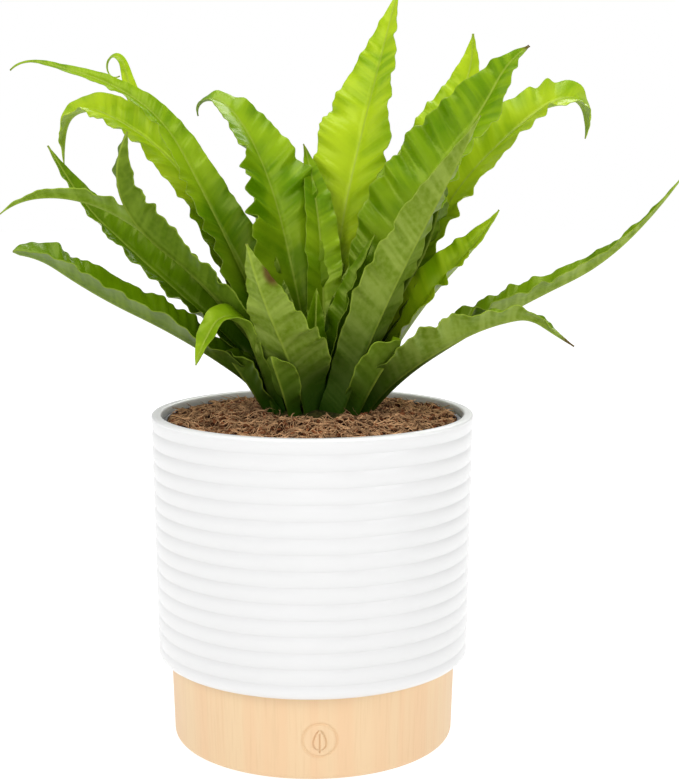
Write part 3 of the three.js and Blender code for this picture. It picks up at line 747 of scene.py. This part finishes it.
class FERN_OT_coir(bpy.types.Operator):
    """Coir surface with its chips and loose fibres"""

    bl_idname = "fern.coir"
    bl_label = "Coir"

    def execute(self, context):
        settings = context.scene.fern
        bed = coir_bed()
        ground = earth_material("coir_ground", rgba(8, 3, 1), rgba(58, 27, 12), 420.0)
        brown = earth_material("coir_chip", rgba(26, 10, 4), rgba(158, 100, 65), 420.0)
        pale = earth_material("coir_fibre", rgba(44, 20, 9), rgba(226, 178, 132), 300.0)
        shade = 0.5 + 0.5 * lumps(bed[..., 0], bed[..., 1], 2.2, 7)
        add_surface("coir_bed", bed, ground, ("coir_top",), {"shade": shade})
        points, faces, shade = crumbs(settings.crumb_count, 11)
        chips = add_piece("coir_chips", points, faces, brown, (), {"shade": shade})
        chips.data.polygons.foreach_set("use_smooth", np.zeros(len(chips.data.polygons), dtype=bool))
        points, faces, shade = fibre_strands(settings.fibre_count, 12)
        add_piece("coir_fibres", points, faces, pale, (), {"shade": shade}, weld=True)
        return {"FINISHED"}


class FERN_OT_liner(bpy.types.Operator):
    """Finish of the black liner and of the mix inside it, and the liner's round rim bead"""

    bl_idname = "fern.liner"
    bl_label = "Liner"

    def execute(self, context):
        looks = {"grower_pot": liner_material(),
                 "potting_mix": earth_material("mix_dark", rgba(40, 24, 14), rgba(84, 56, 36), 300.0)}
        for node, material in looks.items():
            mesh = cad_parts[node].data
            for index in range(len(mesh.materials)):
                mesh.materials[index] = material
        angle = np.radians(np.arange(0.0, 360.0, 2.0))
        bead = np.array(arc(*LINER_BEAD, 0, 360, 15))
        points = turned(bead[:, :1], bead[:, 1:], angle)
        add_surface("liner_bead", points, looks["grower_pot"])
        return {"FINISHED"}


# ------------------------------------------------------------------ crown

class FERN_OT_crown(bpy.types.Operator):
    """Dark scaly crown in the middle of the fronds"""

    bl_idname = "fern.crown"
    bl_label = "Crown"

    def execute(self, context):
        angle = np.radians(np.arange(0.0, 360.0, 4.0))
        share = np.linspace(0.0, 1.0, 30)[:, None]
        dome = CROWN_RIM + (CROWN_TOP - CROWN_RIM - 2.0) * np.sqrt(1.0 - share ** 2)
        swirl = 1.0 + 0.05 * np.sin(9 * angle + 14 * share) * smooth(share, 0.0, 0.3)
        side = np.full((1, angle.size), CROWN_RADIUS - 1.0)
        radius = np.vstack([CROWN_RADIUS * 0.95 * share * swirl, side, np.zeros((1, angle.size))])
        height = np.vstack([dome * np.ones(angle.size), np.full((2, angle.size), COIR_FLOOR)])
        points = turned(radius, height, angle)
        points[..., :2] += CROWN
        scales = earth_material("crown_scales", rgba(26, 30, 10), rgba(74, 70, 34), 500.0)
        shade = np.full(points.shape[:2], 0.3)
        add_surface("crown_skin", points, scales, ("crown",), {"shade": shade})
        return {"FINISHED"}


# ----------------------------------------------------------------- fronds

def frond_spine(grow, share, seed):
    """Place, side and upper-face vectors at each share of the length. The place is the running sum
    of steps along the changing direction, the side is level and then rolled about that direction
    by the frond's roll and a waver of a few degrees, and the face is square to both. Below its
    seat the blade runs straight down into the crown."""
    fine = np.linspace(0.0, 1.0, WALK_STEPS + 1)
    stops = np.array(grow.lift, dtype=float)
    rise = np.interp(fine, stops[:, 0], stops[:, 1])
    soft = np.hanning(2 * BEND_EASE + 1)
    padded = np.concatenate([np.full(BEND_EASE, rise[0]), rise, np.full(BEND_EASE, rise[-1])])
    rise = np.radians(np.convolve(padded, soft / soft.sum(), mode="valid"))
    heading = np.radians(grow.heading + grow.sweep * fine)
    wobble = 7.0 * lumps(fine * grow.length, np.full_like(fine, seed), 42.0, seed)
    roll = np.radians(grow.roll[0] + (grow.roll[1] - grow.roll[0]) * fine + wobble)
    forward = np.column_stack([np.cos(rise) * np.cos(heading), np.cos(rise) * np.sin(heading), np.sin(rise)])
    level = np.column_stack([-np.sin(heading), np.cos(heading), np.zeros_like(heading)])
    above = np.cross(forward, level)
    side = level * np.cos(roll)[:, None] + above * np.sin(roll)[:, None]
    turn, away = np.radians(grow.seat[0]), grow.seat[1]
    dome = CROWN_RIM + (CROWN_TOP - CROWN_RIM) * np.sqrt(1 - (away / CROWN_RADIUS) ** 2) + 2.0
    start = np.array([CROWN[0] + away * np.cos(turn), CROWN[1] + away * np.sin(turn), dome])
    walk = np.vstack([np.zeros(3), np.cumsum((forward[1:] + forward[:-1]) / 2, axis=0)])
    place = start + walk * grow.length / WALK_STEPS

    def pick(rows):
        return np.column_stack([np.interp(share, fine, rows[:, k]) for k in range(3)])

    place, forward, side = pick(place), pick(forward), pick(side)
    below = np.minimum(share, 0.0)[:, None] * grow.length
    return place + forward * below, side, np.cross(forward, side)


def blade_half(grow, share):
    """Half width in mm: broad sheathing base, widest at its peak, closing to the tip."""
    swell = 0.68 + 0.32 * smooth(share, 0.0, grow.peak)
    past = np.clip((share - grow.peak) / (1.0 - grow.peak), 0.0, 1.0)
    return 0.5 * grow.width * np.maximum(0.03, swell * (1.0 - past ** grow.taper))


def half_section(fold, reach):
    """One half of a cross-section of unit width: it leaves the midrib steeply and levels out
    towards the margin, its place being the running sum of steps along that lean."""
    middle = (reach[1:] + reach[:-1]) / 2
    lean = fold * (1.2 - 0.55 * middle)
    start = np.zeros((fold.shape[0], 1))
    out = np.hstack([start, np.cumsum(np.cos(lean) * np.diff(reach), axis=1)])
    rise = np.hstack([start, np.cumsum(np.sin(lean) * np.diff(reach), axis=1)])
    return out, rise, fold * (1.2 - 0.55 * reach)


def half_blade(grow, share, half, reach, seed, settings):
    """One half of a blade as (out, rise) across it. The folded section is pushed along its own
    normal by pleats, which slant to the tip, wax and wane, and by finer ripples at the margin."""
    along = share[:, None] * grow.length
    lane = np.full_like(along, 7.0 * seed)
    sheath = 1.0 - smooth(share, 0.0, 0.28)[:, None]
    fold = grow.fold * (1.0 - sheath) * (1.0 - 0.35 * smooth(share, 0.7, 1.0)[:, None]) + 62.0 * sheath
    fold = fold + 9.0 * lumps(along, lane, 33.0, seed) + 5.0 * lumps(along, lane, 12.0, seed + 1)
    out, rise, lean = half_section(np.radians(fold), reach)
    edge = 1.0 + 0.05 * lumps(along, lane, 10.0, seed + 2) + 0.03 * lumps(along, lane, 3.4, seed + 3)
    wave = settings.wave_length / MM
    run = along - 0.5 * reach * half
    lane = np.broadcast_to(lane, run.shape)
    drift = 3.4 * lumps(run, lane, 25.0, seed + 4)
    gate = 0.25 + 0.75 * smooth(lumps(run, lane, 17.0, seed + 5), -0.4, 0.6)
    swing = np.sin(2 * np.pi * run / wave + drift) + 0.35 * np.sin(4.4 * np.pi * run / wave - drift)
    grown = smooth(share, 0.06, 0.34)[:, None] * half
    push = settings.pleat * grown * gate * swing * reach ** 1.5
    push = push + settings.frill * grown * reach ** 3 * lumps(run, lane, wave * 0.42, seed + 6)
    return (out * half * edge - push * np.sin(lean), rise * half * edge + push * np.cos(lean))


def frond_surface(grow, seed, settings):
    """Blade of two skins: both folded halves side by side, thicker at the midrib, which is a
    groove on the upper skin and a ridge on the lower one."""
    share = np.linspace(-BURIED_BASE / grow.length, 1.0, BLADE_ROWS)
    place, side, face = frond_spine(grow, share, seed)
    reach = np.sin(np.linspace(0.0, 1.0, BLADE_COLUMNS) * np.pi / 2)
    half = blade_half(grow, share)[:, None]
    near, near_rise = half_blade(grow, share, half, reach, seed, settings)
    far, far_rise = half_blade(grow, share, half, reach, seed + 50, settings)
    out = np.hstack([-far[:, :0:-1], near])
    rise = np.hstack([far_rise[:, :0:-1], near_rise])
    reach = np.concatenate([reach[:0:-1], reach])
    middle = place[:, None] + side[:, None] * out[..., None] + face[:, None] * rise[..., None]
    stout = np.minimum(1.0, half / 7.0)
    across = reach * half
    thick = settings.blade_thickness / MM + 0.25 * (1.0 - reach) * stout
    ridge = 1.1 * np.exp(-(across / 1.5) ** 2) * stout
    groove = 0.3 * np.exp(-(across / 0.9) ** 2) * stout
    upper = middle + face[:, None] * (thick / 2 - groove)[..., None]
    lower = middle - face[:, None] * (thick / 2 + ridge)[..., None]
    points = np.concatenate([upper, lower[:, ::-1]], axis=1)
    return points, share, across, reach


def blade_faces(rows, columns):
    """Quads round the two skins, and strips that close the blade at the crown and at the tip."""
    ring = 2 * columns
    j = np.arange(columns - 1)
    start = np.stack([j, j + 1, ring - 2 - j, ring - 1 - j], axis=-1)
    stop = start[:, ::-1] + (rows - 1) * ring
    return np.vstack([grid_quads(rows, ring)[:, ::-1], start, stop])


def dry_patches(name, share, across, side):
    """Share of dry brown: a tip on the fronds that have one, and one spot on the pale front frond."""
    dry = smooth(share, *DRY_TIPS.get(name, LAST_TIP))
    if name == "front_pale":
        away = np.hypot((share - SPOT_SHARE) * 12.0, (across - SPOT_ACROSS) / 4.5)
        dry = np.maximum(dry, (1.0 - smooth(away, 0.45, 1.1)) * side)
    return dry


def add_frond(grow, index, settings, materials):
    """One frond's blade, carrying what its leaf finish reads at each point."""
    points, share, across, reach = frond_surface(grow, 100 + index, settings)
    rows, ring = points.shape[:2]
    columns = ring // 2

    def both_skins(values):
        return np.concatenate([values, values[:, ::-1]], axis=1)
    across = both_skins(across)
    shares = np.broadcast_to(share[:, None], (rows, ring))
    side = both_skins(np.broadcast_to(np.arange(columns) > columns // 2, (rows, columns)))
    values = {"across": across, "along": shares * grow.length, "share": shares,
              "rim": both_skins(np.broadcast_to(reach, (rows, columns))),
              "under": np.broadcast_to(np.arange(ring) >= columns, (rows, ring)),
              "dry": dry_patches(grow.name, shares, across, side)}
    add_piece("blade_" + grow.name, points.reshape(-1, 3), blade_faces(rows, columns),
              materials[grow.tone], ("frond_" + grow.name,), values, outward=True)


class FERN_OT_fronds(bpy.types.Operator):
    """Every frond, each as its own ruffled blade"""

    bl_idname = "fern.fronds"
    bl_label = "Fronds"

    def execute(self, context):
        materials = {tone: leaf_material(tone) for tone in LEAF_TONES}
        for index, grow in enumerate(FRONDS):
            add_frond(grow, index, context.scene.fern, materials)
        return {"FINISHED"}


# ------------------------------------------------------------------ studio

def area_light(name, place, aim, size, power):
    """Square lamp turned so that it shines from its place to its aim."""
    data = bpy.data.lights.new(name, "AREA")
    data.size = size
    data.energy = power
    lamp = bpy.data.objects.new(name, data)
    lamp.location = place
    way = np.array(aim) - np.array(place)
    flat = np.hypot(way[0], way[1])
    lamp.rotation_euler = Euler((np.arctan2(flat, -way[2]), 0.0, np.arctan2(-way[0], way[1])))
    bpy.context.scene.collection.objects.link(lamp)


def pale_floor():
    """Flat floor that glows enough to look white."""
    far = FLOOR_HALF
    mesh = bpy.data.meshes.new("floor")
    mesh.from_pydata([(-far, -far, 0), (far, -far, 0), (far, far, 0), (-far, far, 0)], [], [(0, 1, 2, 3)])
    pale = Shader("pale_floor", 0.9)
    pale.colour((0.3, 0.3, 0.3, 1.0))
    pale.finish(Emission_Color=(1.0, 1.0, 1.0, 1.0), Emission_Strength=FLOOR_GLOW)
    mesh.materials.append(pale.material)
    floor = bpy.data.objects.new("floor", mesh)
    bpy.context.scene.collection.objects.link(floor)


def white_sky():
    """World that is white behind the fern, and shines on it with SKY_LIGHT of that white."""
    world = bpy.data.worlds.new("studio")
    world.use_nodes = True
    nodes, links = world.node_tree.nodes, world.node_tree.links
    level = nodes.new("ShaderNodeMapRange")
    level.inputs["To Min"].default_value = SKY_LIGHT
    level.inputs["To Max"].default_value = 1.0
    links.new(nodes.new("ShaderNodeLightPath").outputs["Is Camera Ray"], level.inputs["Value"])
    white = nodes["Background"]
    white.inputs["Color"].default_value = (1.0, 1.0, 1.0, 1.0)
    links.new(level.outputs[0], white.inputs["Strength"])
    return world


def studio_camera():
    """Camera in front of the fern and above the pot's rim, tipped down by CAMERA_DIP."""
    data = bpy.data.cameras.new("camera")
    data.lens = CAMERA_LENS
    data.sensor_width = 36.0
    camera = bpy.data.objects.new("camera", data)
    camera.location = CAMERA_PLACE
    camera.rotation_euler = Euler((np.radians(90.0 - CAMERA_DIP), 0.0, 0.0))
    bpy.context.scene.collection.objects.link(camera)
    return camera


class FERN_OT_studio(bpy.types.Operator):
    """Pale floor, soft lights and the camera"""

    bl_idname = "fern.studio"
    bl_label = "Studio"

    def execute(self, context):
        scene = context.scene
        pale_floor()
        scene.world = white_sky()
        for lamp in LAMPS:
            area_light(*lamp)
        scene.camera = studio_camera()
        scene.view_settings.view_transform = "Standard"
        return {"FINISHED"}


class FERN_PT_panel(bpy.types.Panel):
    """Lists the fern's pieces"""

    bl_idname = "FERN_PT_panel"
    bl_label = "Potted Fern"
    bl_space_type = "VIEW_3D"
    bl_region_type = "UI"
    bl_category = "Fern"

    def draw(self, context):
        """Every size and colour, and a button for every piece."""
        for name in FernSettings.__annotations__:
            self.layout.prop(context.scene.fern, name)
        for operator in OPERATORS:
            self.layout.operator(operator.bl_idname)


OPERATORS = (FERN_OT_studio, FERN_OT_foot, FERN_OT_cover_pot, FERN_OT_liner, FERN_OT_coir,
             FERN_OT_crown, FERN_OT_fronds)
CLASSES = (FernSettings, *OPERATORS, FERN_PT_panel)


def register():
    """Adds the classes and the scene's settings."""
    for cls in CLASSES:
        bpy.utils.register_class(cls)
    bpy.types.Scene.fern = bpy.props.PointerProperty(type=FernSettings)


def unregister():
    """Takes them away again, in the opposite order."""
    del bpy.types.Scene.fern
    for cls in reversed(CLASSES):
        bpy.utils.unregister_class(cls)


def main():
    """Builds the studio and every piece."""
    register()
    for operator in OPERATORS:
        group, name = operator.bl_idname.split(".")
        getattr(getattr(bpy.ops, group), name)()


if __name__ == "__main__":
    main()
